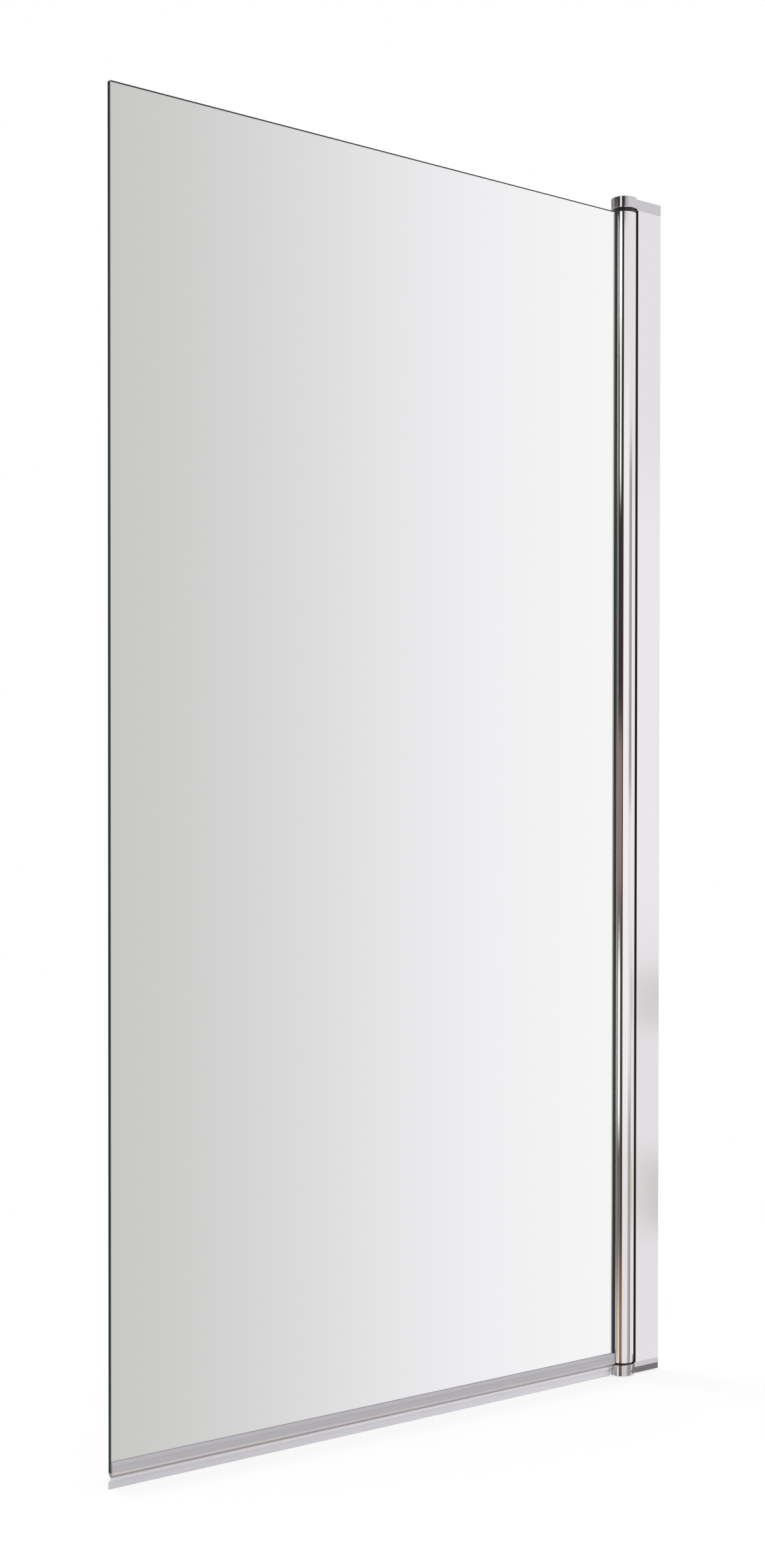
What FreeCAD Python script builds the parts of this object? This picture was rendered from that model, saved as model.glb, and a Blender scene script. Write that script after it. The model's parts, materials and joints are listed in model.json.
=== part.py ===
import FreeCAD, Part
import os
import Sketcher

# Pivoting bath screen: a glass panel held in a round tube that swings on two pins, between
# one-piece caps, on a flat post that slides over a channel screwed to the wall.
# Millimetres. X = 0 is the wall plane and the glass reaches towards -X. Y = 0 is the middle of
# the glass, with the front towards -Y. Z = 0 is the underside of the bottom cap, on the bath rim.

doc = FreeCAD.newDocument("bath_screen")

# ---------------------------------------------------------------- driving dimensions
SIZES = (
    # whole screen
    ("overall_height", 1430.0),
    ("overall_width", 785.0),
    ("axis_to_wall", 53.4),
    # one-piece end caps
    ("cap_height", 13.4),
    ("boss_overhang", 1.1),
    ("cap_rounding", 0.6),
    # post that slides over the wall channel
    ("post_width", 20.0),
    ("post_wall", 1.5),
    ("post_web", 1.6),
    ("nest_gap", 2.85),
    ("port_block_depth", 6.35),
    ("port_offset", 6.0),
    ("port_setback", 2.55),
    ("port_wall", 1.5),
    # channel on the wall
    ("channel_depth", 27.0),
    ("channel_wall", 1.6),
    ("channel_clearance", 0.3),
    ("channel_end_gap", 1.0),
    ("wall_hole_radius", 2.5),
    ("outer_hole_inset", 115.0),
    ("inner_hole_inset", 515.0),
    # width adjustment
    ("adjust_travel", 15.0),
    ("adjuster_to_wall", 22.0),
    ("adjuster_inset", 215.0),
    ("adjuster_shank_radius", 2.0),
    ("adjuster_shank_length", 5.6),
    ("adjuster_head_radius", 3.8),
    ("adjuster_head_height", 2.2),
    ("adjuster_slot_clearance", 0.3),
    ("adjuster_washer_radius", 5.0),
    ("adjuster_washer_thickness", 1.0),
    ("adjuster_washer_gap", 0.2),
    ("cover_wall", 0.9),
    ("cover_headroom", 0.4),
    ("cover_bevel", 0.8),
    # countersunk screws and the ports they cut their thread in
    ("screw_shank_radius", 1.45),
    ("screw_hole_clearance", 0.15),
    ("screw_recess_width", 0.7),
    ("screw_recess_depth", 0.7),
    ("cap_screw_length", 30.0),
    ("cap_screw_head_radius", 3.0),
    ("cap_screw_head_height", 1.7),
    ("bush_screw_length", 13.0),
    ("bush_screw_head_radius", 2.5),
    ("bush_screw_head_height", 1.0),
    # wiper strips that close the gap between post and tube
    ("wiper_angle", 27.0),
    ("wiper_foot_span", 10.0),
    ("wiper_lip_span", 6.0),
    ("wiper_groove_depth", 1.0),
    ("wiper_tip_gap", 0.35),
    # pivots
    ("pin_radius", 3.0),
    ("pin_clearance", 0.05),
    ("pin_seat", 10.0),
    ("pin_reach", 18.0),
    ("pin_chamfer", 0.5),
    ("washer_setback", 2.0),
    ("top_washer", 2.2),
    ("top_running_gap", 0.4),
    ("top_flange", 2.2),
    ("bottom_washer", 1.1),
    ("bottom_running_gap", 0.2),
    ("bottom_flange", 1.1),
    ("flange_setback", 1.2),
    ("spigot_length", 22.0),
    # tube that holds the glass
    ("tube_radius", 14.6),
    ("tube_wall", 1.6),
    ("hub_radius", 5.0),
    ("hub_wall", 1.2),
    ("slot_wall", 1.2),
    ("web_thickness", 1.2),
    ("tube_port_inset", 2.8),
    ("tube_port_angle", 60.0),
    ("tube_port_wall", 1.5),
    # glass and its bedding in the tube
    ("glass_thickness", 5.0),
    ("glass_bite", 7.0),
    ("glass_arris", 0.6),
    ("gasket_thickness", 0.5),
    ("gasket_setback", 1.0),
    ("edge_block_thickness", 0.6),
    ("edge_block_length", 40.0),
    ("edge_block_inset", 120.0),
    # seal under the glass
    ("seal_setback", 1.2),
    ("seal_end_gap", 0.4),
    ("seal_grip_height", 11.6),
    ("seal_step_height", 7.0),
    ("seal_leg_thick", 1.4),
    ("seal_leg_thin", 0.9),
    ("seal_floor", 1.0),
    ("seal_vee_height", 3.3),
    ("skirt_thickness", 0.8),
    ("skirt_offset", 0.4),
    ("skirt_drop", 7.4),
    ("skirt_shift", 4.0),
    ("skirt_lip", 5.1),
    ("skirt_boss_gap", 1.2),
)

sheet = doc.addObject("Spreadsheet::Sheet", "dims")
for row, (alias, size) in enumerate(SIZES, start=1):
    sheet.set(f"A{row}", alias)
    sheet.set(f"B{row}", str(size))
    sheet.setAlias(f"B{row}", alias)
doc.recompute()

# ---------------------------------------------------------------- derived places
CAP_TOP_Z = "(dims.overall_height - dims.cap_height)"
POST_LENGTH = "(dims.overall_height - 2 * dims.cap_height)"
POST_HALF = "(dims.post_width / 2)"
BOSS_RADIUS = "(dims.tube_radius + dims.boss_overhang)"
NEST_RADIUS = "(dims.tube_radius + dims.nest_gap)"
NEST_DEEPEST = f"(dims.axis_to_wall - {NEST_RADIUS})"
PORT_X = f"({NEST_DEEPEST} - dims.port_setback)"
CHANNEL_HALF = f"({POST_HALF} - dims.post_wall - dims.channel_clearance)"
CHANNEL_Z = "(dims.cap_height + dims.channel_end_gap)"
CHANNEL_LENGTH = f"({POST_LENGTH} - 2 * dims.channel_end_gap)"
ADJUSTER_HEIGHTS = (
    "dims.adjuster_inset",
    "dims.overall_height / 2",
    "(dims.overall_height - dims.adjuster_inset)",
)
TUBE_Z = "(dims.cap_height + dims.bottom_washer + dims.bottom_running_gap + dims.bottom_flange)"
TUBE_TOP_Z = f"({CAP_TOP_Z} - dims.top_washer - dims.top_running_gap - dims.top_flange)"
TUBE_LENGTH = f"({TUBE_TOP_Z} - {TUBE_Z})"
GLASS_HALF = "(dims.glass_thickness / 2)"
SLOT_HALF = f"({GLASS_HALF} + dims.gasket_thickness)"
GLASS_EDGE = "(dims.tube_radius - dims.glass_bite)"
SLOT_BOTTOM = f"({GLASS_EDGE} - dims.edge_block_thickness)"
TUBE_BORE = "(dims.tube_radius - dims.tube_wall)"
PORT_REACH = f"({TUBE_BORE} - dims.tube_port_inset)"
TUBE_PORTS = tuple(
    (f"{PORT_REACH} * cos(dims.tube_port_angle)",
     f"{side} * {PORT_REACH} * sin(dims.tube_port_angle)")
    for side in (-1, 1)
)
POST_PORTS = tuple((f"-{PORT_X}", f"{side} * dims.port_offset") for side in (-1, 1))
OVERRUN = "1"  # how far a cutting tool runs past the face it leaves


# ---------------------------------------------------------------- drawing helpers
def new_body(name, x="0", z="0"):
    """PartDesign body whose local origin lies at (x, 0, z)."""
    body = doc.addObject("PartDesign::Body", name)
    body.Label = name
    body.setExpression("Placement.Base.x", x)
    body.setExpression("Placement.Base.z", z)
    return body


def new_sketch(body, name, role="XY_Plane", offset="0"):
    """Sketch on one of the body's own origin planes, moved along its normal."""
    sketch = body.newObject("Sketcher::SketchObject", f"{body.Name}_{name}")
    plane = next(p for p in body.Origin.OriginFeatures if p.Role == role)
    sketch.AttachmentSupport = [(plane, "")]
    sketch.MapMode = "FlatFace"
    sketch.setExpression("AttachmentOffset.Base.z", offset)
    return sketch


def pin_point(sketch, geometry, point, x=None, y=None):
    """Tie a sketch point's coordinates to expressions."""
    for kind, expression in (("DistanceX", x), ("DistanceY", y)):
        if expression is not None:
            index = sketch.addConstraint(Sketcher.Constraint(kind, -1, 1, geometry, point, 1.0))
            sketch.setExpression(f"Constraints[{index}]", expression)


def draw_circle(sketch, x, y, radius):
    circle = Part.Circle(FreeCAD.Vector(0, 0, 0), FreeCAD.Vector(0, 0, 1), 1.0)
    geometry = sketch.addGeometry(circle)
    pin_point(sketch, geometry, 3, x, y)
    index = sketch.addConstraint(Sketcher.Constraint("Radius", geometry, 1.0))
    sketch.setExpression(f"Constraints[{index}]", radius)


def draw_polygon(sketch, corners):
    """Closed outline whose corners are pairs of expressions."""
    count = len(corners)
    rough = [FreeCAD.Vector(1.0, 0, 0)]
    turn = FreeCAD.Rotation(FreeCAD.Vector(0, 0, 1), 360.0 / count)
    for _ in range(count - 1):
        rough.append(turn.multVec(rough[-1]))
    lines = [
        sketch.addGeometry(Part.LineSegment(rough[i], rough[(i + 1) % count]))
        for i in range(count)
    ]
    for i in range(count):
        sketch.addConstraint(Sketcher.Constraint("Coincident", lines[i], 2, lines[(i + 1) % count], 1))
    for line, (x, y) in zip(lines, corners):
        pin_point(sketch, line, 1, x, y)


def draw_rectangle(sketch, left, right, low, high):
    draw_polygon(sketch, ((left, low), (right, low), (right, high), (left, high)))


def pad(body, sketch, length, downwards=False):
    feature = body.newObject("PartDesign::Pad", f"{sketch.Name}_pad")
    feature.Profile = sketch
    feature.setExpression("Length", length)
    feature.Reversed = downwards
    doc.recompute()
    return feature


def pocket(body, sketch, length, along_normal=False):
    """Cut against the sketch's normal, or along it, and make sure that it removed something."""
    before = body.Shape.Volume
    feature = body.newObject("PartDesign::Pocket", f"{sketch.Name}_pocket")
    feature.Profile = sketch
    feature.setExpression("Length", length)
    feature.Reversed = along_normal
    doc.recompute()
    if before - body.Shape.Volume < 1e-6:
        raise RuntimeError(f"{feature.Name} removes nothing")
    return feature


def countersink(body, name, x, y, face_z, head_radius, head_height, upwards):
    """Conical seat in a face at face_z that looks up or down."""
    hole_radius = "dims.screw_shank_radius + dims.screw_hole_clearance"
    cone = body.newObject("PartDesign::SubtractiveCone", f"{body.Name}_{name}")
    cone.setExpression("Radius1", hole_radius if upwards else head_radius)
    cone.setExpression("Radius2", head_radius if upwards else hole_radius)
    cone.setExpression("Height", head_height)
    cone.setExpression("AttachmentOffset.Base.x", x)
    cone.setExpression("AttachmentOffset.Base.y", y)
    cone.setExpression("AttachmentOffset.Base.z", f"{face_z} - {head_height}" if upwards else face_z)
    plane = next(p for p in body.Origin.OriginFeatures if p.Role == "XY_Plane")
    cone.AttachmentSupport = [(plane, "")]
    cone.MapMode = "FlatFace"
    doc.recompute()


def dress(body, kind, size_name, size, chosen):
    """Fillet or chamfer the tip's edges that pass the test chosen."""
    base = body.Tip
    edges = [f"Edge{i}" for i, edge in enumerate(base.Shape.Edges, start=1) if chosen(edge)]
    feature = body.newObject(f"PartDesign::{kind}", f"{body.Name}_{kind.lower()}")
    feature.Base = (base, edges)
    feature.setExpression(size_name, size)
    doc.recompute()
    return feature


def solid(kind, name, **sizes):
    """Part primitive with its sizes bound to expressions."""
    primitive = doc.addObject(f"Part::{kind}", name)
    for path, expression in sizes.items():
        primitive.setExpression(path, expression)
    return primitive


def move(item, x="0", y="0", z="0"):
    item.setExpression("Placement.Base.x", x)
    item.setExpression("Placement.Base.y", y)
    item.setExpression("Placement.Base.z", z)
    return item


def box(name, x, y, z, length, width, height):
    return move(solid("Box", name, Length=length, Width=width, Height=height), x, y, z)


def cut(name, base, tool):
    result = doc.addObject("Part::Cut", name)
    result.Base = base
    result.Tool = tool
    return result


def fuse(name, pieces):
    result = doc.addObject("Part::MultiFuse", name)
    result.Shapes = pieces
    result.Refine = True
    return result


def group(name, pieces):
    """Identical separate pieces that share one node."""
    result = doc.addObject("Part::Compound", name)
    result.Links = pieces
    return result


def sector(name, inner, outer, span, length):
    """Part of a ring, from local X round by its span."""
    full = solid("Cylinder", f"{name}_outer", Radius=outer, Height=length, Angle=span)
    core = solid("Cylinder", f"{name}_core", Radius=inner, Height=length)
    return cut(name, full, core)


# ---------------------------------------------------------------- wall channel and adjusters
def make_wall_channel():
    body = new_body("wall_channel", z=CHANNEL_Z)
    profile = new_sketch(body, "profile")
    inner_half = f"({CHANNEL_HALF} - dims.channel_wall)"
    draw_polygon(profile, (
        ("0", f"-{CHANNEL_HALF}"),
        ("0", CHANNEL_HALF),
        ("-dims.channel_depth", CHANNEL_HALF),
        ("-dims.channel_depth", inner_half),
        ("-dims.channel_wall", inner_half),
        ("-dims.channel_wall", f"-{inner_half}"),
        ("-dims.channel_depth", f"-{inner_half}"),
        ("-dims.channel_depth", f"-{CHANNEL_HALF}"),
    ))
    pad(body, profile, CHANNEL_LENGTH)
    wall_holes = new_sketch(body, "wall_holes", "YZ_Plane")
    for inset in ("dims.outer_hole_inset", "dims.inner_hole_inset"):
        for height in (inset, f"dims.overall_height - {inset}"):
            draw_circle(wall_holes, "0", f"{height} - {CHANNEL_Z}", "dims.wall_hole_radius")
    pocket(body, wall_holes, f"dims.channel_wall + {OVERRUN}")
    thread_holes = new_sketch(body, "thread_holes", "XZ_Plane")
    for height in ADJUSTER_HEIGHTS:
        draw_circle(
            thread_holes, "-dims.adjuster_to_wall", f"{height} - {CHANNEL_Z}",
            "dims.adjuster_shank_radius",
        )
    pocket(body, thread_holes, f"{CHANNEL_HALF} + {OVERRUN}")
    return body


FACING_BACK = FreeCAD.Rotation(FreeCAD.Vector(1, 0, 0), -90)
FACING_DOWN = FreeCAD.Rotation(FreeCAD.Vector(1, 0, 0), 180)
WASHER_Y = f"({POST_HALF} + dims.adjuster_washer_gap)"
HEAD_Y = f"({WASHER_Y} + dims.adjuster_washer_thickness)"


def make_adjusters():
    """Pan-head screw, washer and snap-on cover cap at each height, on the back of the post."""
    screws = []
    washers = []
    covers = []
    cover_radius = "(dims.adjuster_washer_radius + dims.cover_wall)"
    cover_room = (
        "(dims.adjuster_washer_thickness + dims.adjuster_head_height + dims.cover_headroom)"
    )
    for i, height in enumerate(ADJUSTER_HEIGHTS, start=1):
        head = solid(
            "Cylinder", f"adjuster_head_{i}",
            Radius="dims.adjuster_head_radius", Height="dims.adjuster_head_height",
        )
        shank = solid(
            "Cylinder", f"adjuster_shank_{i}",
            Radius="dims.adjuster_shank_radius", Height="dims.adjuster_shank_length",
        )
        move(shank, z="-dims.adjuster_shank_length")
        screws.append(fuse(f"adjuster_screw_{i}", [head, shank]))

        disc = solid(
            "Cylinder", f"adjuster_washer_disc_{i}",
            Radius="dims.adjuster_washer_radius", Height="dims.adjuster_washer_thickness",
        )
        hole = solid(
            "Cylinder", f"adjuster_washer_hole_{i}",
            Radius="dims.adjuster_shank_radius", Height="dims.adjuster_washer_thickness",
        )
        washers.append(cut(f"adjuster_washer_{i}", disc, hole))

        barrel = solid("Cylinder", f"cover_barrel_{i}", Radius=cover_radius, Height=cover_room)
        crown = solid(
            "Cone", f"cover_crown_{i}",
            Radius1=cover_radius, Radius2=f"{cover_radius} - dims.cover_bevel",
            Height="dims.cover_wall",
        )
        move(crown, z=cover_room)
        hollow = solid(
            "Cylinder", f"cover_hollow_{i}", Radius="dims.adjuster_washer_radius", Height=cover_room,
        )
        covers.append(cut(f"cover_cap_{i}", fuse(f"cover_shell_{i}", [barrel, crown]), hollow))

        for piece, seat in ((screws[-1], HEAD_Y), (washers[-1], WASHER_Y), (covers[-1], WASHER_Y)):
            piece.Placement = FreeCAD.Placement(FreeCAD.Vector(0, 0, 0), FACING_BACK)
            move(piece, "-dims.adjuster_to_wall", seat, height)
    return [
        group("adjuster_screws", screws),
        group("adjuster_washers", washers),
        group("screw_cover_caps", covers),
    ]


# ---------------------------------------------------------------- post, caps and wipers
def make_wiper_sector(name, side, inner, outer, span):
    """Ring sector about the pivot axis, centred on the wiper's angle, front (-1) or back (1)."""
    piece = sector(name, inner, outer, span, POST_LENGTH)
    piece.Placement = FreeCAD.Placement(
        FreeCAD.Vector(0, 0, 0), FreeCAD.Rotation(FreeCAD.Vector(0, 0, 1), 1.0)
    )
    piece.setExpression("Placement.Rotation.Angle", f"{side} * dims.wiper_angle - {span} / 2")
    return move(piece, "-dims.axis_to_wall", z="dims.cap_height")


GROOVE_RADIUS = f"({NEST_RADIUS} + dims.wiper_groove_depth)"


def make_post():
    body = new_body("post_extrusion", z="dims.cap_height")
    blank = new_sketch(body, "blank")
    draw_rectangle(blank, "-dims.axis_to_wall", "0", f"-{POST_HALF}", POST_HALF)
    pad(body, blank, POST_LENGTH)
    nest = new_sketch(body, "nest")
    draw_circle(nest, "-dims.axis_to_wall", "0", NEST_RADIUS)
    pocket(body, nest, POST_LENGTH, along_normal=True)

    cavity_half = f"({POST_HALF} - dims.post_wall)"
    cavity_end = f"({NEST_DEEPEST} - dims.post_web)"
    block_end = f"({NEST_DEEPEST} - dims.port_block_depth)"
    throat_half = "(dims.port_offset - dims.screw_shank_radius - dims.port_wall)"
    cavity = new_sketch(body, "cavity")
    draw_polygon(cavity, (
        (OVERRUN, f"-{cavity_half}"),
        (OVERRUN, cavity_half),
        (f"-{block_end}", cavity_half),
        (f"-{block_end}", throat_half),
        (f"-{cavity_end}", throat_half),
        (f"-{cavity_end}", f"-{throat_half}"),
        (f"-{block_end}", f"-{throat_half}"),
        (f"-{block_end}", f"-{cavity_half}"),
    ))
    pocket(body, cavity, POST_LENGTH, along_normal=True)
    ports = new_sketch(body, "ports")
    for x, y in POST_PORTS:
        draw_circle(ports, x, y, "dims.screw_shank_radius")
    pocket(body, ports, POST_LENGTH, along_normal=True)

    # slots that let the post travel past the adjuster screws, each a box with two round ends
    slot_half = "(dims.adjuster_shank_radius + dims.adjuster_slot_clearance)"
    slot_ends = ("-dims.adjuster_to_wall", "(dims.adjust_travel - dims.adjuster_to_wall)")
    slots = new_sketch(body, "slots", "XZ_Plane")
    slot_rounds = new_sketch(body, "slot_rounds", "XZ_Plane")
    for height in ADJUSTER_HEIGHTS:
        level = f"({height} - dims.cap_height)"
        draw_rectangle(slots, *slot_ends, f"{level} - {slot_half}", f"{level} + {slot_half}")
        for end in slot_ends:
            draw_circle(slot_rounds, end, level, slot_half)
    pocket(body, slots, f"{POST_HALF} + {OVERRUN}")
    pocket(body, slot_rounds, f"{POST_HALF} + {OVERRUN}")

    grooves = [
        make_wiper_sector(f"{name}_groove", side, "dims.tube_radius", GROOVE_RADIUS,
                          "dims.wiper_foot_span")
        for name, side in (("front", -1), ("back", 1))
    ]
    return cut("post_profile", body, fuse("wiper_grooves", grooves))


def make_wiper(name, side):
    foot = make_wiper_sector(
        f"{name}_foot", side, NEST_RADIUS, GROOVE_RADIUS, "dims.wiper_foot_span",
    )
    lip = make_wiper_sector(
        f"{name}_lip", side, "(dims.tube_radius + dims.wiper_tip_gap)", GROOVE_RADIUS,
        "dims.wiper_lip_span",
    )
    return fuse(name, [foot, lip])


def make_cap(name, inner_z, upwards):
    """Round boss over the tube and plate over the post, with its inner face at inner_z."""
    body = new_body(name, z=inner_z)
    outline = {
        "plate": lambda sketch: draw_rectangle(
            sketch, "-dims.axis_to_wall", "0", f"-{POST_HALF}", POST_HALF,
        ),
        "boss": lambda sketch: draw_circle(sketch, "-dims.axis_to_wall", "0", BOSS_RADIUS),
    }
    for part_name, draw in outline.items():
        sketch = new_sketch(body, part_name)
        draw(sketch)
        pad(body, sketch, "dims.cap_height", downwards=not upwards)

    bore = new_sketch(body, "bore")
    draw_circle(bore, "-dims.axis_to_wall", "0", "dims.pin_radius")
    pocket(body, bore, "dims.pin_seat", along_normal=upwards)
    holes = new_sketch(body, "holes")
    for x, y in POST_PORTS:
        draw_circle(holes, x, y, "dims.screw_shank_radius + dims.screw_hole_clearance")
    pocket(body, holes, "dims.cap_height", along_normal=upwards)
    face_z = "dims.cap_height" if upwards else "-dims.cap_height"
    for i, (x, y) in enumerate(POST_PORTS, start=1):
        countersink(
            body, f"countersink_{i}", x, y, face_z,
            "dims.cap_screw_head_radius", "dims.cap_screw_head_height", upwards,
        )

    # soften the outer rim, but not the screw seats in the same face
    height = sheet.cap_height if upwards else -sheet.cap_height
    seat_reach = sheet.cap_screw_head_radius + 1e-3
    screws_x = -(sheet.axis_to_wall - sheet.tube_radius - sheet.nest_gap - sheet.port_setback)

    def on_rim(edge):
        points = [vertex.Point for vertex in edge.Vertexes]
        off_seat = min(
            FreeCAD.Vector(point.x - screws_x, point.y - side * sheet.port_offset, 0).Length
            for side in (-1, 1)
            for point in points
        )
        in_face = all(abs(point.z - height) < 1e-4 for point in points)
        return in_face and off_seat > seat_reach

    dress(body, "Fillet", "Radius", "dims.cap_rounding", on_rim)
    return body


# ---------------------------------------------------------------- fixings and pivots
def make_screw(name, length, head_radius, head_height):
    """Countersunk cross-recess screw, with the top of its head at the local origin."""
    head = solid(
        "Cone", f"{name}_head", Radius1="dims.screw_shank_radius", Radius2=head_radius,
        Height=head_height,
    )
    move(head, z=f"-{head_height}")
    shank = solid("Cylinder", f"{name}_shank", Radius="dims.screw_shank_radius", Height=length)
    move(shank, z=f"-{length}")
    # a cross as wide as the head's shallow cone lets it be
    reach = f"({head_radius} / 2)"
    arms = [
        box(f"{name}_arm_x", f"-{reach}", "-dims.screw_recess_width / 2",
            "-dims.screw_recess_depth", f"2 * {reach}", "dims.screw_recess_width",
            "dims.screw_recess_depth"),
        box(f"{name}_arm_y", "-dims.screw_recess_width / 2", f"-{reach}",
            "-dims.screw_recess_depth", "dims.screw_recess_width", f"2 * {reach}",
            "dims.screw_recess_depth"),
    ]
    return cut(name, fuse(f"{name}_blank", [head, shank]), fuse(f"{name}_recess", arms))


def make_screw_pair(name, places, top_z, length, head_radius, head_height, upwards):
    screws = []
    for i, (x, y) in enumerate(places, start=1):
        screw = make_screw(f"{name}_{i}", length, head_radius, head_height)
        if not upwards:
            screw.Placement = FreeCAD.Placement(FreeCAD.Vector(0, 0, 0), FACING_DOWN)
        screws.append(move(screw, x, y, top_z))
    return group(name, screws)


def make_pin(name, start_z):
    """Steel pin, chamfered at both ends, from start_z upwards."""
    body = new_body(name, x="-dims.axis_to_wall", z=start_z)
    section = new_sketch(body, "section")
    draw_circle(section, "0", "0", "dims.pin_radius")
    pad(body, section, "dims.pin_seat + dims.pin_reach")
    dress(body, "Chamfer", "Size", "dims.pin_chamfer", lambda edge: edge.isClosed())
    return body


def make_washer(name, start_z, thickness):
    body = new_body(name, x="-dims.axis_to_wall", z=start_z)
    section = new_sketch(body, "section")
    draw_circle(section, "0", "0", "dims.tube_radius - dims.washer_setback")
    draw_circle(section, "0", "0", "dims.pin_radius + dims.pin_clearance")
    pad(body, section, thickness)
    return body


def make_bush(name, tube_end_z, flange, upwards):
    """Flanged bush in a tube end. upwards says that the tube's end looks up."""
    body = new_body(name, x="-dims.axis_to_wall", z=tube_end_z)
    disc = new_sketch(body, "disc")
    draw_circle(disc, "0", "0", "dims.tube_radius - dims.flange_setback")
    pad(body, disc, flange, downwards=not upwards)
    spigot = new_sketch(body, "spigot")
    draw_circle(spigot, "0", "0", "dims.hub_radius")
    pad(body, spigot, "dims.spigot_length", downwards=upwards)
    outer_face = flange if upwards else f"-{flange}"
    bore = new_sketch(body, "bore", offset=outer_face)
    draw_circle(bore, "0", "0", "dims.pin_radius + dims.pin_clearance")
    pocket(body, bore, f"{flange} + dims.spigot_length", along_normal=not upwards)
    holes = new_sketch(body, "holes")
    for x, y in TUBE_PORTS:
        draw_circle(holes, x, y, "dims.screw_shank_radius + dims.screw_hole_clearance")
    pocket(body, holes, flange, along_normal=upwards)
    for i, (x, y) in enumerate(TUBE_PORTS, start=1):
        countersink(
            body, f"countersink_{i}", x, y, outer_face,
            "dims.bush_screw_head_radius", "dims.bush_screw_head_height", upwards,
        )
    return body


# ---------------------------------------------------------------- tube and glass
def make_pivot_tube():
    body = new_body("pivot_tube", x="-dims.axis_to_wall", z=TUBE_Z)
    hub_outer = "(dims.hub_radius + dims.hub_wall)"
    shell = new_sketch(body, "shell")
    draw_circle(shell, "0", "0", "dims.tube_radius")
    draw_circle(shell, "0", "0", TUBE_BORE)
    pad(body, shell, TUBE_LENGTH)
    slot_block = new_sketch(body, "slot_block")
    block_half = f"({SLOT_HALF} + dims.slot_wall)"
    draw_rectangle(slot_block, f"-{TUBE_BORE}", "0", f"-{block_half}", block_half)
    pad(body, slot_block, TUBE_LENGTH)
    web = new_sketch(body, "web")
    draw_rectangle(
        web, "dims.hub_radius", "dims.tube_radius - dims.tube_wall / 2",
        "-dims.web_thickness / 2", "dims.web_thickness / 2",
    )
    pad(body, web, TUBE_LENGTH)
    hub = new_sketch(body, "hub")
    draw_circle(hub, "0", "0", hub_outer)
    pad(body, hub, TUBE_LENGTH)
    port_posts = new_sketch(body, "port_posts")
    for x, y in TUBE_PORTS:
        draw_circle(port_posts, x, y, "dims.screw_shank_radius + dims.tube_port_wall")
    pad(body, port_posts, TUBE_LENGTH)

    bores = new_sketch(body, "bores")
    draw_circle(bores, "0", "0", "dims.hub_radius")
    for x, y in TUBE_PORTS:
        draw_circle(bores, x, y, "dims.screw_shank_radius")
    pocket(body, bores, TUBE_LENGTH, along_normal=True)
    slot = new_sketch(body, "slot")
    draw_rectangle(
        slot, f"-dims.tube_radius - {OVERRUN}", f"-{SLOT_BOTTOM}", f"-{SLOT_HALF}", SLOT_HALF,
    )
    pocket(body, slot, TUBE_LENGTH, along_normal=True)
    return body


def make_glass():
    body = new_body("glass_panel", z=TUBE_Z)
    pane = new_sketch(body, "pane")
    draw_rectangle(
        pane, "-dims.overall_width", f"-dims.axis_to_wall - {GLASS_EDGE}",
        f"-{GLASS_HALF}", GLASS_HALF,
    )
    pad(body, pane, TUBE_LENGTH)
    # the arris runs round both faces, so it takes every edge but the short ones across the pane
    dress(body, "Chamfer", "Size", "dims.glass_arris", lambda edge: abs(edge.tangentAt(0).y) < 0.5)
    return body


def make_gasket(name, low_y):
    """Strip between the glass and one wall of the tube's slot."""
    start = "(dims.tube_radius - dims.gasket_setback)"
    return box(
        name, f"-dims.axis_to_wall - {start}", low_y, TUBE_Z,
        f"{start} - {GLASS_EDGE}", "dims.gasket_thickness", TUBE_LENGTH,
    )


def make_edge_blocks():
    levels = (
        f"{TUBE_Z} + dims.edge_block_inset",
        f"({TUBE_Z} + {TUBE_TOP_Z} - dims.edge_block_length) / 2",
        f"{TUBE_TOP_Z} - dims.edge_block_inset - dims.edge_block_length",
    )
    blocks = [
        box(
            f"glass_edge_block_{i}", f"-dims.axis_to_wall - {GLASS_EDGE}", f"-{GLASS_HALF}", level,
            "dims.edge_block_thickness", "dims.glass_thickness", "dims.edge_block_length",
        )
        for i, level in enumerate(levels, start=1)
    ]
    return group("glass_edge_blocks", blocks)


# ---------------------------------------------------------------- bottom seal
ALONG_X = FreeCAD.Rotation(FreeCAD.Vector(1, 1, 1), 120)  # local X, Y, Z become Y, Z, X
ALONG_X_TURNED = FreeCAD.Rotation(FreeCAD.Vector(1, 0, 0), 180) * ALONG_X


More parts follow.
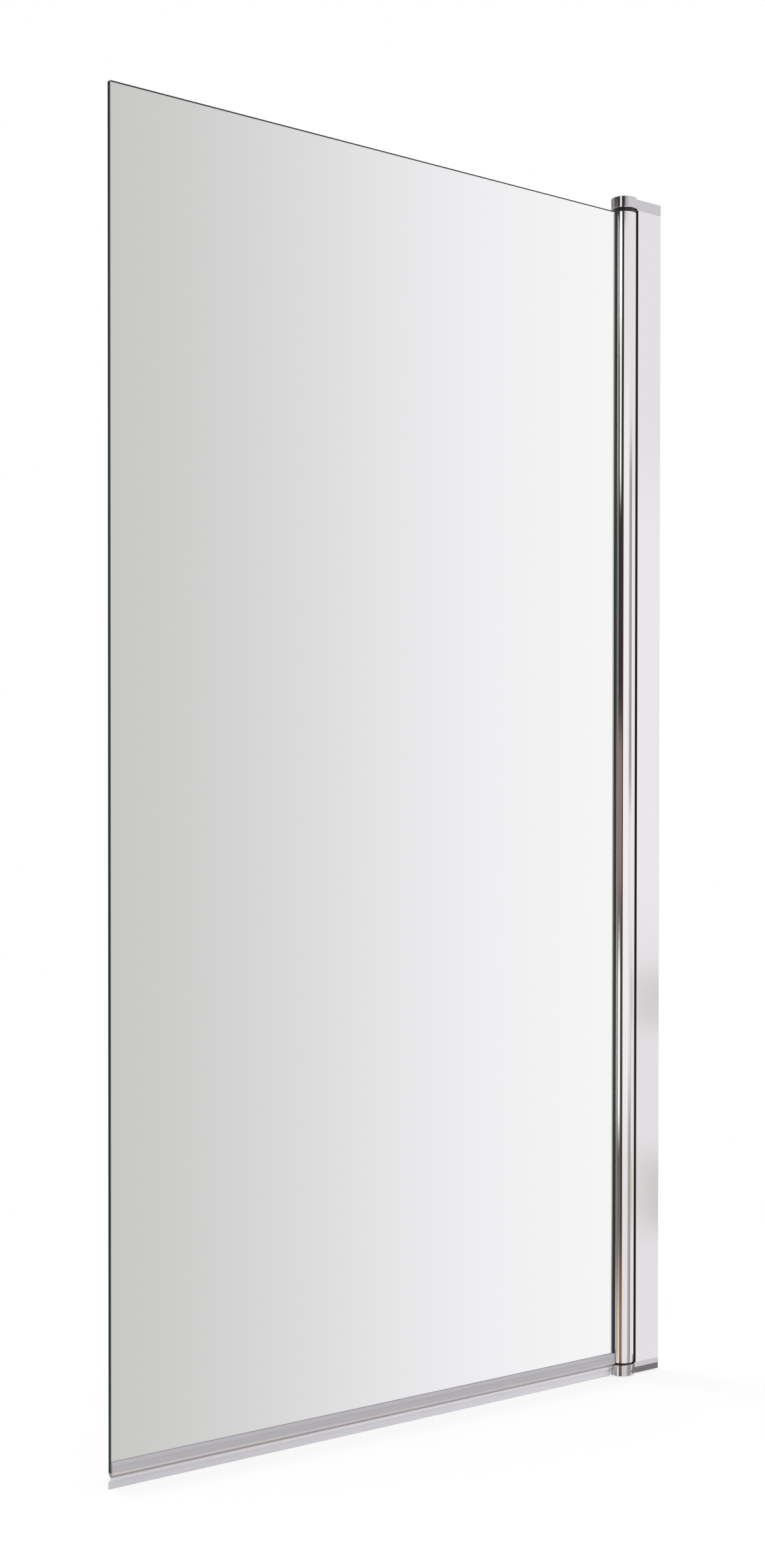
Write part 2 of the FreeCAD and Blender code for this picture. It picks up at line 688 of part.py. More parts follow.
def make_bottom_seal():
    """Channel that grips the glass, a vee under it, and a skirt that curves to the back."""
    start_x = "(dims.seal_setback - dims.overall_width)"
    grip_length = (
        f"(-dims.axis_to_wall - dims.tube_radius - dims.seal_end_gap - {start_x})"
    )
    skirt_length = (
        f"(-dims.axis_to_wall - {BOSS_RADIUS} - dims.skirt_boss_gap - {start_x})"
    )
    thick_half = f"({GLASS_HALF} + dims.seal_leg_thick)"
    thin_half = f"({GLASS_HALF} + dims.seal_leg_thin)"
    neck_y = "-dims.skirt_offset"
    neck_low = f"({neck_y} - dims.skirt_thickness / 2)"
    neck_high = f"({neck_y} + dims.skirt_thickness / 2)"
    neck_drop = "(dims.seal_floor + dims.seal_vee_height)"

    body = new_body("seal_grip", x=start_x, z=TUBE_Z)
    channel = new_sketch(body, "channel", "YZ_Plane")
    right_side = (
        (thick_half, "-dims.seal_floor"),
        (thick_half, "dims.seal_step_height"),
        (thin_half, "dims.seal_step_height"),
        (thin_half, "dims.seal_grip_height"),
        (GLASS_HALF, "dims.seal_grip_height"),
        (GLASS_HALF, "0"),
    )
    left_side = tuple((f"-{y}", z) for y, z in reversed(right_side))
    draw_polygon(channel, right_side + left_side)
    pad(body, channel, grip_length)
    vee = new_sketch(body, "vee", "YZ_Plane")
    draw_polygon(vee, (
        (f"-{thick_half}", "-dims.seal_floor"),
        (neck_low, f"-{neck_drop}"),
        (neck_high, f"-{neck_drop}"),
        (thick_half, "-dims.seal_floor"),
    ))
    pad(body, vee, skirt_length)

    # the skirt is two equal arcs that bend to the back and upright again, then a straight lip
    bend = "(2 * atan(dims.skirt_shift / dims.skirt_drop))"
    radius = f"(dims.skirt_drop / (2 * sin({bend})))"
    neck_z = f"({TUBE_Z} - {neck_drop})"
    arcs = []
    for name, turned, y, z in (
        ("skirt_upper", ALONG_X_TURNED, f"{neck_y} + {radius}", neck_z),
        ("skirt_lower", ALONG_X, f"{neck_y} + dims.skirt_shift - {radius}",
         f"{neck_z} - dims.skirt_drop"),
    ):
        arc = sector(
            name, f"{radius} - dims.skirt_thickness / 2", f"{radius} + dims.skirt_thickness / 2",
            bend, skirt_length,
        )
        arc.Placement = FreeCAD.Placement(FreeCAD.Vector(0, 0, 0), turned)
        arcs.append(move(arc, start_x, y, z))
    lip = box(
        "skirt_lip_strip", start_x, f"{neck_low} + dims.skirt_shift",
        f"{neck_z} - dims.skirt_drop - dims.skirt_lip", skirt_length,
        "dims.skirt_thickness", "dims.skirt_lip",
    )
    return fuse("bottom_seal", [body, *arcs, lip])


# ---------------------------------------------------------------- assembly
CAP_SCREW = ("dims.cap_screw_length", "dims.cap_screw_head_radius", "dims.cap_screw_head_height")
BUSH_SCREW = (
    "dims.bush_screw_length", "dims.bush_screw_head_radius", "dims.bush_screw_head_height",
)
TUBE_PORTS_PLACED = tuple((f"-dims.axis_to_wall + {x}", y) for x, y in TUBE_PORTS)

nodes = [
    make_wall_channel(),
    *make_adjusters(),
    make_post(),
    make_wiper("front_wiper_seal", -1),
    make_wiper("back_wiper_seal", 1),
    make_cap("top_cap", CAP_TOP_Z, upwards=True),
    make_cap("bottom_cap", "dims.cap_height", upwards=False),
    make_screw_pair("top_cap_screws", POST_PORTS, "dims.overall_height", *CAP_SCREW, upwards=True),
    make_screw_pair("bottom_cap_screws", POST_PORTS, "0", *CAP_SCREW, upwards=False),
    make_pin("top_pivot_pin", f"{CAP_TOP_Z} - dims.pin_reach"),
    make_pin("bottom_pivot_pin", "dims.cap_height - dims.pin_seat"),
    make_washer("top_thrust_washer", f"{CAP_TOP_Z} - dims.top_washer", "dims.top_washer"),
    make_washer("bottom_thrust_washer", "dims.cap_height", "dims.bottom_washer"),
    make_pivot_tube(),
    make_glass(),
    make_gasket("front_glazing_gasket", f"-{SLOT_HALF}"),
    make_gasket("back_glazing_gasket", GLASS_HALF),
    make_edge_blocks(),
    make_bush("top_bush", TUBE_TOP_Z, "dims.top_flange", upwards=True),
    make_bush("bottom_bush", TUBE_Z, "dims.bottom_flange", upwards=False),
    make_screw_pair(
        "top_bush_screws", TUBE_PORTS_PLACED, f"{TUBE_TOP_Z} + dims.top_flange", *BUSH_SCREW,
        upwards=True,
    ),
    make_screw_pair(
        "bottom_bush_screws", TUBE_PORTS_PLACED, f"{TUBE_Z} - dims.bottom_flange", *BUSH_SCREW,
        upwards=False,
    ),
    make_bottom_seal(),
]
doc.recompute()

# ---------------------------------------------------------------- checks and export
failed = [item.Name for item in doc.Objects if {"Invalid", "Error"} & set(item.State)]
if failed:
    raise RuntimeError(f"objects that did not compute: {failed}")
for node in nodes:
    if node.Shape.isNull() or not node.Shape.isValid() or not node.Shape.Solids:
        raise RuntimeError(f"{node.Label} has no valid solid")

os.makedirs("parts", exist_ok=True)
for node in nodes:
    node.Shape.exportStep(f"parts/{node.Label}.step")
    print(f"{node.Label}: {len(node.Shape.Solids)} solid(s), {node.Shape.Volume:.1f} mm3")
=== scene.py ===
"""Looks of the bath screen: metal, glass, soft seal, floor, studio light and camera."""

import json
import math

import bmesh
import bpy
from mathutils import Euler, Matrix, Vector


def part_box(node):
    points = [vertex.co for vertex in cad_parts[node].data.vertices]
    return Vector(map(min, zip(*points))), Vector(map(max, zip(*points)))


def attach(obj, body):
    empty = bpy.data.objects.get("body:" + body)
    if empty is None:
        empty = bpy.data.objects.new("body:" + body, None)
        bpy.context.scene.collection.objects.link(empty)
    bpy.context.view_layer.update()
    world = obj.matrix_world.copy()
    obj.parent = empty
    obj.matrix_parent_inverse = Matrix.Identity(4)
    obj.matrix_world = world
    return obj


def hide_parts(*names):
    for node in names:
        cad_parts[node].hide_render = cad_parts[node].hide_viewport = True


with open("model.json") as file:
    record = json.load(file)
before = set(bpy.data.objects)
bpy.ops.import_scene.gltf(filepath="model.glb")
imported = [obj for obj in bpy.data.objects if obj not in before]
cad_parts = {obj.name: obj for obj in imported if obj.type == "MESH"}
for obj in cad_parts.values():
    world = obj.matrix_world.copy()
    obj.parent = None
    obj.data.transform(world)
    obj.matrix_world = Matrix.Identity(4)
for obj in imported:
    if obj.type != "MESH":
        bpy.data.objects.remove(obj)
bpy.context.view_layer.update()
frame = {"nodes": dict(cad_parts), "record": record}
NODES = frame["nodes"]
SCENE = bpy.context.scene


# ---------------------------------------------------------------- node helpers
class Tree:
    """A node tree to write in: each call makes one node and gives the socket that is used next."""

    def __init__(self, owner):
        owner.use_nodes = True
        self.tree = owner.node_tree
        self.tree.nodes.clear()

    def node(self, kind, inputs=None, **settings):
        made = self.tree.nodes.new(kind)
        for name, value in settings.items():
            setattr(made, name, value)
        for name, value in (inputs or {}).items():
            if isinstance(value, bpy.types.NodeSocket):
                self.tree.links.new(value, made.inputs[name])
            else:
                made.inputs[name].default_value = value
        return made

    def math(self, operation, a, b=0.0):
        return self.node("ShaderNodeMath", {0: a, 1: b}, operation=operation).outputs[0]

    def ramp(self, value, low, high, to_low=0.0, to_high=1.0):
        """Smooth change from to_low to to_high as value goes from low to high."""
        made = self.node("ShaderNodeMapRange", {
            "Value": value, "From Min": low, "From Max": high, "To Min": to_low, "To Max": to_high,
        }, interpolation_type="SMOOTHSTEP")
        return made.outputs["Result"]

    def mix(self, share, a, b):
        """Colour a where share is 0 and b where it is 1."""
        made = self.node("ShaderNodeMix", data_type="RGBA")
        for index, value in ((0, share), (6, a), (7, b)):
            if isinstance(value, bpy.types.NodeSocket):
                self.tree.links.new(value, made.inputs[index])
            else:
                made.inputs[index].default_value = value if index == 0 else (*value, 1.0)
        return made.outputs[2]

    def object_point(self, scale):
        """The point on the object in metres, stretched by scale along each axis."""
        point = self.node("ShaderNodeTexCoord").outputs["Object"]
        return self.node("ShaderNodeMapping", {"Vector": point, "Scale": scale}).outputs[0]

    def noise(self, scale, detail=2.0, roughness=0.5):
        made = self.node("ShaderNodeTexNoise", {
            "Vector": self.object_point(scale), "Scale": 1.0, "Detail": detail,
            "Roughness": roughness,
        })
        return made.outputs["Fac"]

    def bump(self, height, strength, distance, edge_radius=0.0):
        """Normal with the height's relief, and edges that shade as if they had a radius."""
        inputs = {"Height": height, "Strength": strength, "Distance": distance}
        if edge_radius:
            rounded = self.node("ShaderNodeBevel", {"Radius": edge_radius}, samples=8)
            inputs["Normal"] = rounded.outputs["Normal"]
        return self.node("ShaderNodeBump", inputs).outputs["Normal"]

    def principled(self, **inputs):
        return self.node("ShaderNodeBsdfPrincipled", {
            name.replace("_", " "): value for name, value in inputs.items()
        }).outputs[0]

    def output(self, surface):
        self.node("ShaderNodeOutputMaterial", {"Surface": surface})


def new_material(name):
    material = bpy.data.materials.new(name)
    return material, Tree(material)


def shade(colour, factor):
    return tuple(channel * factor for channel in colour)


# ---------------------------------------------------------------- materials
SMUDGE_GRAIN = (9.0, 9.0, 4.0)
PATCH_GRAIN = (25.0, 25.0, 25.0)
METAL_RELIEF = 0.0001
PLASTIC_RELIEF = 0.0002
PATCH_HAZE = 0.08  # how much duller or glossier plastic is from patch to patch


def metal(name, colour, roughness, haze, grain, depth, variation=0.04, edge_radius=0.0):
    """Metal with fine lines or spots of size 1 / grain, and a faint haze that comes and goes."""
    material, t = new_material(name)
    lines = t.noise(grain, detail=3.0)
    smudges = t.noise(SMUDGE_GRAIN, detail=4.0, roughness=0.6)
    base = t.mix(lines, shade(colour, 1 - variation), colour)
    rough = t.ramp(smudges, 0.35, 0.75, roughness, roughness + haze)
    t.output(t.principled(
        Base_Color=base, Metallic=1.0, Roughness=rough,
        Normal=t.bump(lines, depth, METAL_RELIEF, edge_radius),
    ))
    return material


def plastic(name, colour, roughness, grain, depth, variation=0.25, shine=0.5):
    """Moulded or extruded plastic or rubber, with a fine skin."""
    material, t = new_material(name)
    skin = t.noise(grain, detail=4.0, roughness=0.6)
    patches = t.noise(PATCH_GRAIN, detail=2.0)
    base = t.mix(t.math("MULTIPLY", skin, patches), shade(colour, 1 - variation), colour)
    t.output(t.principled(
        Base_Color=base, Specular_IOR_Level=shine,
        Roughness=t.ramp(patches, 0.3, 0.7, roughness - PATCH_HAZE, roughness + PATCH_HAZE),
        Normal=t.bump(skin, depth, PLASTIC_RELIEF),
    ))
    return material


def clear_glass():
    """Float glass: clear, and very slightly wavy in what it mirrors."""
    material, t = new_material("clear_glass")
    waves = t.noise((2.0, 2.0, 0.7), detail=1.0)
    t.output(t.principled(
        Base_Color=(0.985, 0.989, 0.984, 1.0), Roughness=0.0, IOR=1.5,
        Transmission_Weight=1.0, Normal=t.bump(waves, 0.01, 0.0002),
    ))
    return material


FRONT_ARRIS = (-0.0021, -0.0018)  # painted highlight: the ground corner at the front is painted paler
FRONT_ARRIS_PAINTED_HIGHLIGHT = (0.11, 0.15, 0.14)
EDGE_DEEP = (0.006, 0.010, 0.006)
EDGE_STREAK = (0.026, 0.038, 0.022)
EDGE_GREEN = (0.010, 0.015, 0.009)


def glass_edge():
    """Ground and polished edge, dark green because the light in it has come a long way, with a
    painted highlight along the front arris.
    """
    material, t = new_material("glass_edge")
    stripes = t.noise((60.0, 900.0, 60.0), detail=3.0)
    long_tone = t.noise((3.0, 3.0, 3.0), detail=2.0)
    tone = t.mix(stripes, EDGE_DEEP, EDGE_STREAK)
    base = t.mix(t.ramp(long_tone, 0.3, 0.7), EDGE_GREEN, tone)
    depth = t.node("ShaderNodeSeparateXYZ", {
        "Vector": t.node("ShaderNodeTexCoord").outputs["Object"]}).outputs["Y"]
    # painted highlight: the front arris is painted paler than the rest of the edge
    base = t.mix(t.ramp(depth, *FRONT_ARRIS, 1.0, 0.0), base, FRONT_ARRIS_PAINTED_HIGHLIGHT)
    t.output(t.principled(
        Base_Color=base, Roughness=t.ramp(stripes, 0.3, 0.7, 0.25, 0.45), IOR=1.5,
        Specular_IOR_Level=0.1, Normal=t.bump(stripes, 0.1, 0.0001),
    ))
    return material


# heights of the seal's parts above the foot of the screen, in metres
VEE_FOOT = 0.0115
VEE_BAND = (0.0120, 0.0149)
SKIRT_LIGHT = (0.0068, 0.0098)
UNDER_SEAL = -0.1  # well below the seal's foot
# painted shade: the band of the vee whose face turns downwards is painted brown-dark
VEE_PAINTED_SHADE = (0.52, 0.42, 0.38)
SKIRT_PALE = (0.95, 0.94, 0.98)
# half the height over which one part's colour turns into the next
VEE_FOOT_SOFT = 0.0006
VEE_BAND_SOFT = 0.0003
SKIRT_LIGHT_SOFT = 0.0008


def clear_pvc():
    """Soft clear PVC with flow lines; a band on the solid vee is painted browner as shade where
    its face turns down, and a band on the thin skirt is paler.
    """
    material, t = new_material("clear_pvc")
    flow = t.noise((3.0, 700.0, 700.0), detail=3.0)
    cloud = t.noise((40.0, 90.0, 90.0), detail=3.0)
    height = t.node("ShaderNodeSeparateXYZ", {
        "Vector": t.node("ShaderNodeTexCoord").outputs["Object"]}).outputs["Z"]

    def band(low, high, soft):
        rise = t.ramp(height, low - soft, low + soft)
        return t.math("MULTIPLY", rise, t.ramp(height, high - soft, high + soft, 1.0, 0.0))

    grip = t.mix(flow, (0.90, 0.875, 0.935), (0.99, 0.965, 1.0))
    skirt = t.mix(flow, (0.74, 0.73, 0.77), (0.84, 0.83, 0.87))
    base = t.mix(band(UNDER_SEAL, VEE_FOOT, VEE_FOOT_SOFT), grip, skirt)
    # painted shade on the downward-facing band of the vee
    base = t.mix(band(*VEE_BAND, VEE_BAND_SOFT), base, VEE_PAINTED_SHADE)
    base = t.mix(band(*SKIRT_LIGHT, SKIRT_LIGHT_SOFT), base, SKIRT_PALE)
    t.output(t.principled(
        Base_Color=base, Roughness=t.ramp(cloud, 0.3, 0.7, 0.10, 0.24), IOR=1.45,
        Transmission_Weight=0.6, Normal=t.bump(flow, 0.15, 0.0002),
    ))
    return material


ALONG_Z = (1600.0, 1600.0, 5.0)  # lines left by the extrusion die, up the length
EVEN = (900.0, 900.0, 900.0)
CAP_EDGE_RADIUS = 0.0008

MATERIALS = {
    "polished_aluminium": metal(
        "polished_aluminium", (0.87, 0.86, 0.87), 0.035, 0.05, ALONG_Z, 0.03),
    "cap_chrome": metal(
        "cap_chrome", (0.64, 0.63, 0.66), 0.03, 0.04, (260.0,) * 3, 0.02, 0.02, CAP_EDGE_RADIUS),
    "mill_aluminium": metal("mill_aluminium", (0.78, 0.78, 0.79), 0.28, 0.1, ALONG_Z, 0.2, 0.15),
    "screw_steel": metal("screw_steel", (0.66, 0.66, 0.67), 0.2, 0.1, (2200.0,) * 3, 0.1, 0.15),
    "pin_steel": metal("pin_steel", (0.6, 0.6, 0.61), 0.16, 0.08, (40.0, 40.0, 5000.0), 0.1, 0.1),
    "cover_plastic": plastic("cover_plastic", (0.72, 0.72, 0.74), 0.22, EVEN, 0.05, 0.05),
    "black_acetal": plastic("black_acetal", (0.022, 0.019, 0.016), 0.38, EVEN, 0.15),
    "black_rubber": plastic(
        "black_rubber", (0.014, 0.011, 0.007), 0.6, ALONG_Z, 0.2, shine=0.2),
    "gasket_rubber": plastic(
        "gasket_rubber", (0.010, 0.026, 0.012), 0.5, ALONG_Z, 0.2, shine=0.2),
    "block_plastic": plastic("block_plastic", (0.8, 0.8, 0.78), 0.4, EVEN, 0.1, 0.06),
    "clear_pvc": clear_pvc(),
}
CLEAR_GLASS = clear_glass()
GLASS_EDGE = glass_edge()

for subpart in frame["record"]["subparts"]:
    if subpart["material_slot"] in MATERIALS:
        node = NODES[subpart["node"]]
        node.data.materials.clear()
        node.data.materials.append(MATERIALS[subpart["material_slot"]])


# ---------------------------------------------------------------- glass pane
ARRIS = 0.0006
CORNER_RADIUS = 0.0015
CORNER_STEPS = 6


def corner_loop(low, high, inset, y):
    """Points round the pane at depth y, set in by inset, with its four corners rounded."""
    radius = CORNER_RADIUS
    points = []
    corners = (
        (high.x - inset - radius, high.z - inset - radius, 0),
        (low.x + inset + radius, high.z - inset - radius, 90),
        (low.x + inset + radius, low.z + inset + radius, 180),
        (high.x - inset - radius, low.z + inset + radius, 270),
    )
    for x, z, start in corners:
        for step in range(CORNER_STEPS + 1):
            angle = math.radians(start + 90 * step / CORNER_STEPS)
            points.append((x + radius * math.cos(angle), y, z + radius * math.sin(angle)))
    return points


def make_pane():
    """The pane as one closed shell: clear faces, and dark ground edges with their arrises."""
    low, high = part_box("glass_panel")
    rings = (
        (ARRIS, low.y), (0.0, low.y + ARRIS), (0.0, high.y - ARRIS), (ARRIS, high.y),
    )
    shell = bmesh.new()
    loops = [[shell.verts.new(p) for p in corner_loop(low, high, *ring)] for ring in rings]
    count = len(loops[0])
    for near, far in zip(loops, loops[1:]):
        for i in range(count):
            j = (i + 1) % count
            shell.faces.new((near[i], near[j], far[j], far[i])).material_index = 1
    for ring in (loops[0], loops[-1]):
        shell.faces.new(ring).material_index = 0
    bmesh.ops.recalc_face_normals(shell, faces=shell.faces)
    mesh = bpy.data.meshes.new("glass_pane")
    shell.to_mesh(mesh)
    shell.free()
    pane = bpy.data.objects.new("glass_pane", mesh)
    SCENE.collection.objects.link(pane)
    mesh.materials.append(CLEAR_GLASS)
    mesh.materials.append(GLASS_EDGE)
    pane.visible_shadow = False  # else clear glass throws the shadow of a solid board
    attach(pane, "leaf")
    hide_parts("glass_panel")


make_pane()


# ---------------------------------------------------------------- gasket lip
LIP_OUT = 0.0016  # how far the back gasket's lip stands out of the slot
LIP_STEPS = 8


def make_gasket_lip():
    """Rounded lip of the back gasket, where it comes out of the slot and lies on the glass."""
    low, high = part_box("back_glazing_gasket")
    tube_low, tube_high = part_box("pivot_tube")
    axis_x = (tube_low.x + tube_high.x) / 2
    mouth = axis_x - math.sqrt((tube_high.y - tube_low.y) ** 2 / 4 - high.y ** 2)
    radius = (high.y - low.y) / 2
    outline = [(low.x, low.y), (low.x, high.y)]
    for step in range(LIP_STEPS + 1):
        angle = math.radians(90 + 180 * step / LIP_STEPS)
        outline.append((
            mouth - LIP_OUT + radius + radius * math.cos(angle),
            low.y + radius + radius * math.sin(angle),
        ))
    shell = bmesh.new()
    foot = [shell.verts.new((x, y, low.z)) for x, y in outline]
    head = [shell.verts.new((x, y, high.z)) for x, y in outline]
    for i in range(len(outline)):
        j = (i + 1) % len(outline)
        shell.faces.new((foot[i], foot[j], head[j], head[i]))
    shell.faces.new(foot)
    shell.faces.new(head)
    bmesh.ops.recalc_face_normals(shell, faces=shell.faces)
    mesh = bpy.data.meshes.new("back_gasket_lip")
    shell.to_mesh(mesh)
    shell.free()
    lip = bpy.data.objects.new("back_gasket_lip", mesh)
    SCENE.collection.objects.link(lip)
    mesh.materials.append(MATERIALS["gasket_rubber"])
    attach(lip, "leaf")


make_gasket_lip()


# ---------------------------------------------------------------- floor
FLOOR_SIZE = 60.0
FLOOR_TOP = -0.0013  # just under the seal's lip
FADE_FROM, FADE_TO = 0.5, 1.5  # distances from the middle of the glass over which it turns white
GLASS_MIDDLE = (-0.4, 0.0, 0.0)
FLOOR_PALE = (0.9, 0.9, 0.9, 1.0)
WHITE = (1.0, 1.0, 1.0)
NEAR_WHITE_SHARE = 0.7  # plain white in the floor near the object; the rest holds the shadow
NEAR_FLOOR_LOW = (-0.036, -0.034)
NEAR_FLOOR_HIGH = (0.06, -0.010)
# painted shade: the grey of the floor by the foot of the post, seen only in the bottom cap's
# mirror
NEAR_FLOOR_PAINTED_SHADE = (0.42, 0.40, 0.40, 1.0)


def plane(name, low, high, material):
    mesh = bpy.data.meshes.new(name)
    corners = [
        (x, y, FLOOR_TOP)
        for x, y in ((low[0], low[1]), (high[0], low[1]), (high[0], high[1]), (low[0], high[1]))
    ]
    mesh.from_pydata(corners, [], [(0, 1, 2, 3)])
    mesh.materials.append(material)
    made = bpy.data.objects.new(name, mesh)
    SCENE.collection.objects.link(made)
    return made


def make_floor():
    """Pale floor that fades to white for the camera, but keeps the object's shadow."""
    material, t = new_material("pale_floor")
    camera_ray = t.node("ShaderNodeLightPath").outputs["Is Camera Ray"]
    lit = t.node("ShaderNodeBsdfDiffuse", {"Color": FLOOR_PALE}).outputs[0]
    white = t.node("ShaderNodeEmission", {"Color": (*WHITE, 1.0)}).outputs[0]
    place = t.node("ShaderNodeTexCoord").outputs["Object"]
    away = t.node("ShaderNodeVectorMath", {0: place, 1: GLASS_MIDDLE}, operation="DISTANCE")
    share = t.ramp(away.outputs["Value"], FADE_FROM, FADE_TO, NEAR_WHITE_SHARE, 1.0)
    share = t.math("MULTIPLY", camera_ray, share)
    t.output(t.node("ShaderNodeMixShader", {0: share, 1: lit, 2: white}).outputs[0])
    far = FLOOR_SIZE / 2
    floor = plane("floor", (-far, -far), (far, far), material)
    floor.visible_glossy = False
    floor.visible_transmission = False

    # a grey sheet seen only in mirrors: painted shade for the strip of floor by the foot of the
    # post, which the bottom cap mirrors
    material, t = new_material("painted_floor_shade")
    t.output(t.node("ShaderNodeBsdfDiffuse", {"Color": NEAR_FLOOR_PAINTED_SHADE}).outputs[0])
    near = plane("painted_floor_shade", NEAR_FLOOR_LOW, NEAR_FLOOR_HIGH, material)
    near.visible_camera = False
    near.visible_diffuse = False
    near.visible_transmission = False
    near.visible_shadow = False


make_floor()


# ---------------------------------------------------------------- studio
# What the metal mirrors, set for the main view. Each panel spans azimuths and elevations
# in degrees, as seen from the object, with azimuth from +X towards +Y. Later panels lie over
# earlier ones.
STUDIO_BASE = (0.90, 0.88, 0.90)
STUDIO_PANELS = (
    # azimuths, elevations, softness, colour
    ((226, 280), (-8, 12), 3.0, (1.0, 0.99, 1.0)),
    ((305, 345), (-3, 9), 4.0, (0.97, 0.94, 0.96)),
    ((40, 146), (-90, 90), 4.0, (0.52, 0.52, 0.49)),
    ((40, 146), (-40, -11), 3.0, (0.24, 0.22, 0.22)),
    ((146, 226), (-90, 90), 2.0, (0.045, 0.038, 0.032)),
    ((142, 169), (-90, 90), 3.0, (0.86, 0.90, 0.87)),
    ((142, 169), (3, 9), 3.0, (0.33, 0.36, 0.34)),
    ((142, 169), (-11.5, -7), 2.0, (0.27, 0.26, 0.25)),
    ((183, 206), (13, 60), 2.0, (1.4, 1.4, 1.36)),
    ((189, 203), (9, 13), 1.5, (1.3, 1.3, 1.27)),
    ((183, 202), (-8, -3), 1.5, (1.3, 1.3, 1.28)),
    ((180, 216), (-2, 3), 2.0, (0.30, 0.20, 0.20)),
    ((180, 226), (3, 8), 2.0, (0.045, 0.032, 0.034)),
    ((202, 226), (-8, -3), 2.0, (0.075, 0.055, 0.052)),
    ((182, 208), (-40, -8.5), 2.0, (0.20, 0.16, 0.14)),
    ((142, 184), (-40, -11.9), 2.0, (0.90, 0.92, 0.91)),
    ((189, 200), (-40, -11.9), 3.5, (1.1, 0.88, 0.70)),
    ((200, 226), (-40, -11.7), 3.0, (0.31, 0.20, 0.14)),
    ((282, 312), (1, 10), 2.0, (0.44, 0.42, 0.37)),
    ((303, 312), (1, 10), 2.0, (0.29, 0.27, 0.22)),
    ((309, 315), (-8, -3), 2.0, (0.46, 0.45, 0.44)),
    ((280, 312), (-40, -7), 3.0, (0.50, 0.43, 0.38)),
    ((304, 313), (-40, -7.5), 2.0, (0.31, 0.25, 0.22)),
    ((316, 345), (-5.2, -3.8), 0.8, (0.72, 0.71, 0.70)),
    ((316, 345), (-10.5, -8.6), 1.0, (0.70, 0.69, 0.67)),
    # what only the top cap mirrors
    ((40, 132), (15.95, 40), 0.3, (0.37, 0.35, 0.35)),
    ((132, 189), (15.95, 40), 0.3, (0.05, 0.042, 0.038)),
    ((203, 236), (15.95, 40), 0.3, (0.06, 0.055, 0.05)),
    ((236, 262), (15.95, 40), 0.3, (0.63, 0.61, 0.62)),
    # what only the bottom cap mirrors
    ((60, 160), (-40, -14.1), 0.3, (1.0, 0.98, 1.0)),
    ((160, 184), (-40, -14.1), 0.3, (0.24, 0.23, 0.23)),
    ((184, 198), (-40, -14.1), 0.3, (1.4, 1.4, 1.4)),
    ((198, 226), (-40, -14.1), 0.3, (0.16, 0.13, 0.11)),
    ((270, 314), (-40, -14.1), 0.3, (0.48, 0.43, 0.41)),
    ((314, 345), (-40, -14.1), 0.3, (1.02, 1.0, 1.01)),
    # the dark upper part of the studio, on the side that the glass reaches to
    ((140, 262), (38, 90), 8.0, (0.04, 0.035, 0.03)),
)
PLAIN_LEVEL = 0.75  # what the world gives to dull surfaces
PANE_MIRRORS = (0.35, 0.36, 0.35)  # the plain side of the studio that flat, sharp glass mirrors
PLAIN_BACKDROP = (0.80, 0.80, 0.80)
BEHIND_GLASS_LIGHT = (0.972, 0.972, 0.976)
BEHIND_GLASS_LILAC = (0.990, 0.968, 1.008)  # faint tint of the backdrop in the middle of its fade
BEHIND_GLASS_GREY = (0.557, 0.554, 0.542)
# azimuths between which the backdrop behind the glass takes its tint, darkens and turns plain
LILAC_FROM, LILAC_TO = 44.5, 49.0
GREY_FROM, GREY_TO = 43.0, 61.0
PLAIN_FROM, PLAIN_TO = 70.0, 110.0
# azimuths in which a ray that the metal has mirrored sees the panels through the glass
PANELS_BEHIND = (102, 250)
PANELS_BEHIND_SOFT = 15
FULL_TURN = 360.0


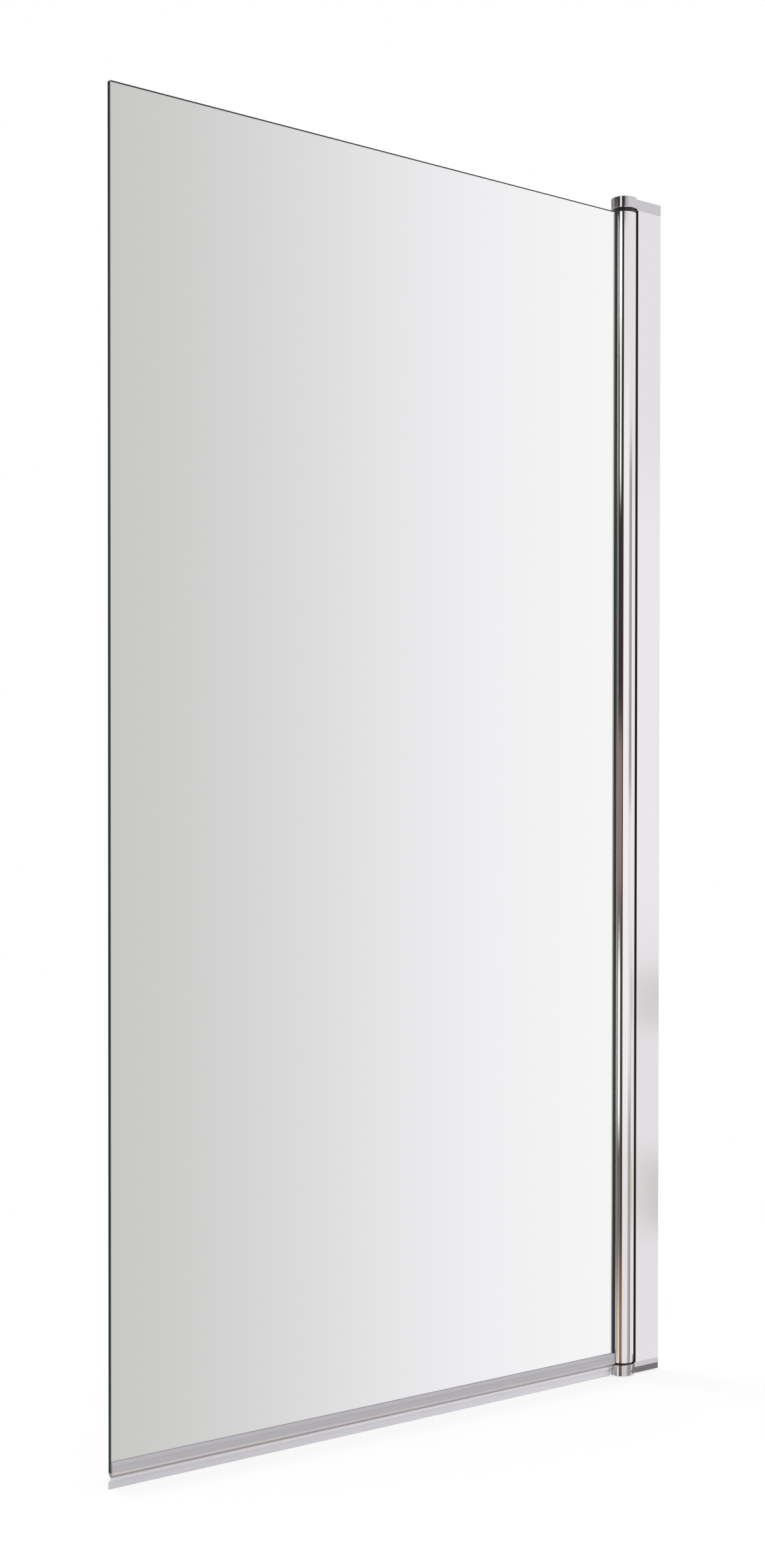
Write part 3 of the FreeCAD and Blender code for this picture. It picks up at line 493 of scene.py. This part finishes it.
def make_world():
    """White for the camera, a fading backdrop through the glass, and the panels for mirrors."""
    world = bpy.data.worlds.new("studio")
    SCENE.world = world
    t = Tree(world)
    direction = t.node("ShaderNodeTexCoord").outputs["Generated"]
    parts = t.node("ShaderNodeSeparateXYZ", {"Vector": direction}).outputs
    turn = t.math("ARCTAN2", parts["Y"], parts["X"])
    azimuth = t.node("ShaderNodeMath", {
        0: t.math("DEGREES", turn), 1: FULL_TURN, 2: 0.0}, operation="WRAP").outputs[0]
    elevation = t.math("DEGREES", t.math("ARCSINE", parts["Z"]))

    def window(value, low, high, softness):
        rise = t.ramp(value, low - softness / 2, low + softness / 2)
        fall = t.ramp(value, high - softness / 2, high + softness / 2, 1.0, 0.0)
        return t.math("MULTIPLY", rise, fall)

    path = t.node("ShaderNodeLightPath").outputs
    panels = STUDIO_BASE
    for azimuths, elevations, softness, colour in STUDIO_PANELS:
        across = window(azimuth, *azimuths, softness)
        up = window(elevation, *elevations, softness)
        panels = t.mix(t.math("MULTIPLY", across, up), panels, colour)
    mirrored = t.mix(path["Is Singular Ray"], panels, PANE_MIRRORS)
    tint = t.ramp(azimuth, LILAC_FROM, LILAC_TO)
    light_side = t.mix(tint, BEHIND_GLASS_LIGHT, BEHIND_GLASS_LILAC)
    behind = t.mix(t.ramp(azimuth, GREY_FROM, GREY_TO), light_side, BEHIND_GLASS_GREY)
    behind = t.mix(t.ramp(azimuth, PLAIN_FROM, PLAIN_TO), behind, PLAIN_BACKDROP)
    off_metal = t.math("GREATER_THAN", path["Glossy Depth"], 0.5)
    panels_side = window(azimuth, *PANELS_BEHIND, PANELS_BEHIND_SOFT)
    behind = t.mix(t.math("MULTIPLY", off_metal, panels_side), behind, panels)

    plain = (PLAIN_LEVEL,) * 3
    seen = t.mix(path["Is Glossy Ray"], plain, mirrored)
    seen = t.mix(path["Is Transmission Ray"], seen, behind)
    seen = t.mix(path["Is Camera Ray"], seen, WHITE)
    light = t.node("ShaderNodeBackground", {"Color": seen, "Strength": 1.0}).outputs[0]
    t.node("ShaderNodeOutputWorld", {"Surface": light})


make_world()


def make_lamp(name, place, aim, size, power):
    data = bpy.data.lights.new(name, "AREA")
    data.shape = "SQUARE"
    data.size = size
    data.energy = power
    lamp = bpy.data.objects.new(name, data)
    SCENE.collection.objects.link(lamp)
    lamp.location = place
    lamp.rotation_euler = (Vector(aim) - Vector(place)).to_track_quat("-Z", "Y").to_euler()
    lamp.visible_glossy = False
    lamp.visible_transmission = False


MIDDLE = (-0.4, 0.0, 0.7)
make_lamp("key", (-2.6, -3.0, 3.4), MIDDLE, 2.4, 90.0)
make_lamp("fill", (2.4, -2.2, 1.8), MIDDLE, 2.0, 35.0)
make_lamp("back", (-1.0, 3.2, 3.0), MIDDLE, 2.0, 45.0)


# ---------------------------------------------------------------- camera
# at the assumed size the camera stood a little below the middle of the screen, 2.6 m from the
# hinge, and nearly level
CAMERA_PLACE = (-1.92733, -1.83113, 0.66353)
CAMERA_TURN = -39.249  # degrees from +Y, negative towards +X
CAMERA_PITCH = -0.718
CAMERA_ROLL = 0.052
IMAGE_SIZE = (1200.0, 2461.0)
FOCAL_PIXELS = 3352.28
PRINCIPAL_ROW = 1345.21
SENSOR = 36.0  # on the long side of the image


def make_camera():
    data = bpy.data.cameras.new("camera")
    data.sensor_width = SENSOR
    data.lens = FOCAL_PIXELS / IMAGE_SIZE[1] * SENSOR
    data.shift_y = (PRINCIPAL_ROW - IMAGE_SIZE[1] / 2) / IMAGE_SIZE[1]
    camera = bpy.data.objects.new("camera", data)
    SCENE.collection.objects.link(camera)
    camera.location = CAMERA_PLACE
    level = Euler((math.radians(90 + CAMERA_PITCH), 0.0, math.radians(CAMERA_TURN))).to_matrix()
    roll = Matrix.Rotation(math.radians(CAMERA_ROLL), 3, "Z")
    camera.rotation_euler = (level @ roll).to_euler()
    SCENE.camera = camera


make_camera()
SCENE.view_settings.view_transform = "Standard"
